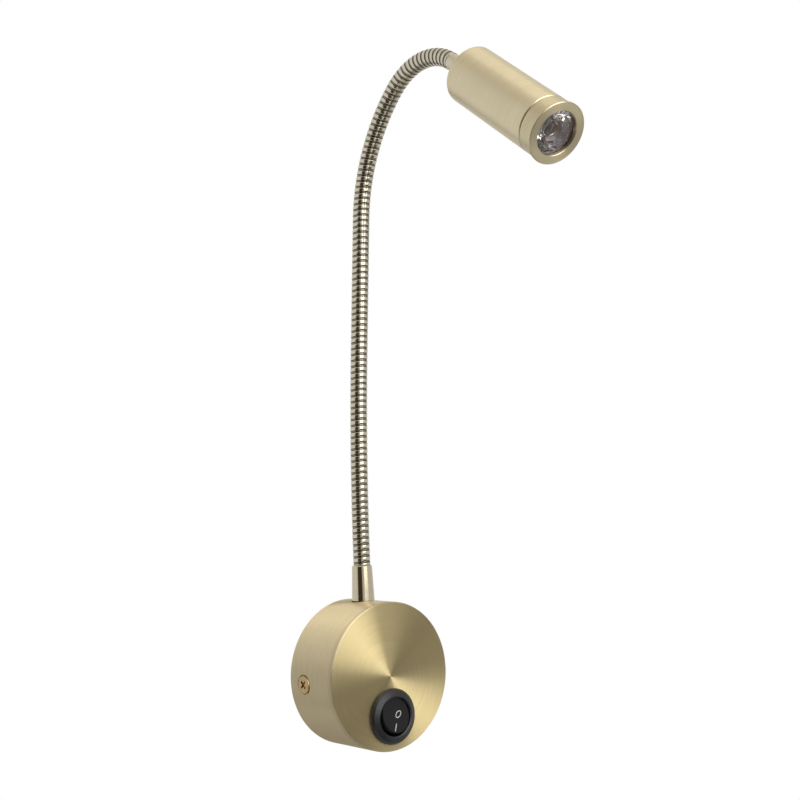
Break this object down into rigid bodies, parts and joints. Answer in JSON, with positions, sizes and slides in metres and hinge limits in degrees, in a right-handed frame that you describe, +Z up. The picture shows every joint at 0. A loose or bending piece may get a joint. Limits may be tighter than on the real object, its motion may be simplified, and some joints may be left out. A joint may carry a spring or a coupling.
{
  "type": "adjustable wall lamp",
  "caption": "Wall lamp with a round brass base and rocker switch, a bendable ribbed arm and a small tubular spot head with a lens.",
  "frame": {"origin": "middle of the bracket's wall face, midway between its two screw slots", "axes": "+X to the right when facing the lamp, +Y into the wall, +Z up"},
  "size_m": [0.0606, 0.1333, 0.2823],
  "materials": {
    "brushed_antique_brass": "satin, brushed, antique",
    "antique_brass_hose": "satin, antique",
    "brass_screw": "polished",
    "brass_contact": "plain",
    "zinc_steel": "zinc plated",
    "spring_steel": "bright",
    "black_switch_plastic": "fine satin",
    "white_case_plastic": "matt",
    "foam_tape": "matt",
    "circuit_board": "solder mask",
    "component_black": "matt",
    "wire_brown": "plain",
    "wire_black": "plain",
    "wire_blue": "plain",
    "lead_jacket": "plain",
    "wire_red": "plain",
    "clear_lens": "clear",
    "seal_rubber": "plain",
    "holder_black": "matt",
    "phosphor": "plain",
    "led_board_white": "white mask",
    "thermal_pad_grey": "matt",
    "sink_aluminium": "turned"
  },
  "bodies": {
    "base": {"base_housing": "brushed_antique_brass", "wall_bracket": "zinc_steel", "housing_screws": "brass_screw", "switch_body": "black_switch_plastic", "switch_terminals": "brass_contact", "driver_case": "white_case_plastic", "driver_lid": "white_case_plastic", "driver_tape": "foam_tape", "driver_board": "circuit_board", "driver_components": "component_black", "terminal_block": "white_case_plastic", "terminal_inserts": "brass_contact", "terminal_screws": "zinc_steel", "earth_screw": "brass_screw", "switch_feed_wire": "wire_brown", "switched_wire": "wire_black", "neutral_wire": "wire_blue", "base_ferrule": "brushed_antique_brass", "ferrule_washer": "zinc_steel", "ferrule_nut": "zinc_steel", "gooseneck_link_01": "antique_brass_hose", "lamp_lead": "lead_jacket"},
    "rocker": {"switch_rocker": "black_switch_plastic", "switch_plunger": "brass_contact", "switch_spring": "spring_steel"},
    "contact_lever": {"switch_contact_lever": "brass_contact"},
    "arm_link_02": {"gooseneck_link_02": "antique_brass_hose"},
    "arm_link_03": {"gooseneck_link_03": "antique_brass_hose"},
    "arm_link_04": {"gooseneck_link_04": "antique_brass_hose"},
    "arm_link_05": {"gooseneck_link_05": "antique_brass_hose"},
    "arm_link_06": {"gooseneck_link_06": "antique_brass_hose"},
    "arm_link_07": {"gooseneck_link_07": "antique_brass_hose"},
    "arm_link_08": {"gooseneck_link_08": "antique_brass_hose"},
    "arm_link_09": {"gooseneck_link_09": "antique_brass_hose"},
    "arm_link_10": {"gooseneck_link_10": "antique_brass_hose"},
    "arm_link_11": {"gooseneck_link_11": "antique_brass_hose"},
    "arm_link_12": {"gooseneck_link_12": "antique_brass_hose"},
    "arm_link_13": {"gooseneck_link_13": "antique_brass_hose"},
    "arm_head": {"gooseneck_link_14": "antique_brass_hose", "head_collar": "brushed_antique_brass", "head_nut": "zinc_steel", "head_body": "brushed_antique_brass", "front_cap": "brushed_antique_brass", "lens": "clear_lens", "lens_seal": "seal_rubber", "lens_holder": "holder_black", "led_emitter": "phosphor", "led_board": "led_board_white", "led_wires": "wire_red", "board_screws": "zinc_steel", "thermal_pad": "thermal_pad_grey", "heat_sink": "sink_aluminium"}
  },
  "joints": [
    {"name": "arm_bend_01", "type": "hinge", "parent": "base", "child": "arm_link_02", "pos_m": [0.00012, -0.0115, 0.06181], "axis": [0.9999, 0, -0.0134], "range_deg": [-20, 20], "deforming": ["lamp_lead"]},
    {"name": "arm_sway_02", "type": "hinge", "parent": "arm_link_02", "child": "arm_link_03", "pos_m": [0.00046, -0.0115, 0.07909], "axis": [0, 1, 0], "range_deg": [-20, 20], "deforming": ["lamp_lead"]},
    {"name": "arm_bend_03", "type": "hinge", "parent": "arm_link_03", "child": "arm_link_04", "pos_m": [0.00104, -0.0115, 0.09636], "axis": [0.9992, 0, -0.0402], "range_deg": [-20, 20], "deforming": ["lamp_lead"]},
    {"name": "arm_sway_04", "type": "hinge", "parent": "arm_link_04", "child": "arm_link_05", "pos_m": [0.00185, -0.0115, 0.11363], "axis": [0, 1, 0], "range_deg": [-20, 20], "deforming": ["lamp_lead"]},
    {"name": "arm_bend_05", "type": "hinge", "parent": "arm_link_05", "child": "arm_link_06", "pos_m": [0.0029, -0.0115, 0.13088], "axis": [0.9978, 0, -0.067], "range_deg": [-20, 20], "deforming": ["lamp_lead"]},
    {"name": "arm_sway_06", "type": "hinge", "parent": "arm_link_06", "child": "arm_link_07", "pos_m": [0.0041, -0.0115, 0.14813], "axis": [0, 1, 0], "range_deg": [-20, 20], "deforming": ["lamp_lead"]},
    {"name": "arm_bend_07", "type": "hinge", "parent": "arm_link_07", "child": "arm_link_08", "pos_m": [0.0053, -0.0115, 0.16537], "axis": [0.9976, 0, -0.0698], "range_deg": [-20, 20], "deforming": ["lamp_lead"]},
    {"name": "arm_sway_08", "type": "hinge", "parent": "arm_link_08", "child": "arm_link_09", "pos_m": [0.00651, -0.0115, 0.18261], "axis": [0, 1, 0], "range_deg": [-20, 20], "deforming": ["lamp_lead"]},
    {"name": "arm_bend_09", "type": "hinge", "parent": "arm_link_09", "child": "arm_link_10", "pos_m": [0.00771, -0.01214, 0.19983], "axis": [0.9976, 0, -0.0698], "range_deg": [-20, 20], "deforming": ["lamp_lead"]},
    {"name": "arm_sway_10", "type": "hinge", "parent": "arm_link_10", "child": "arm_link_11", "pos_m": [0.00888, -0.0165, 0.21647], "axis": [0.0257, 0.9299, 0.3669], "range_deg": [-20, 20], "deforming": ["lamp_lead"]},
    {"name": "arm_bend_11", "type": "hinge", "parent": "arm_link_11", "child": "arm_link_12", "pos_m": [0.00993, -0.02473, 0.23159], "axis": [0.9976, 0, -0.0698], "range_deg": [-20, 20], "deforming": ["lamp_lead"]},
    {"name": "arm_sway_12", "type": "hinge", "parent": "arm_link_12", "child": "arm_link_13", "pos_m": [0.0108, -0.03657, 0.24405], "axis": [0.0578, 0.5593, 0.8269], "range_deg": [-20, 20], "deforming": ["lamp_lead"]},
    {"name": "arm_bend_13", "type": "hinge", "parent": "arm_link_13", "child": "arm_head", "pos_m": [0.01114, -0.05288, 0.24887], "axis": [0.9976, 0, -0.0698], "range_deg": [-20, 20], "deforming": ["lamp_lead"]},
    {"name": "rocker_tilt", "type": "hinge", "parent": "base", "child": "rocker", "pos_m": [0, -0.026, -0.016], "axis": [0.9272, 0, -0.3746], "range_deg": [0, 22]},
    {"name": "contact_tilt", "type": "hinge", "parent": "base", "child": "contact_lever", "pos_m": [0, -0.0174, -0.016], "axis": [0.9272, 0, -0.3746], "range_deg": [-11, 0]}
  ],
  "couplings": [
    {"joint": "contact_tilt", "follows": "rocker_tilt", "ratio": -0.5}
  ]
}
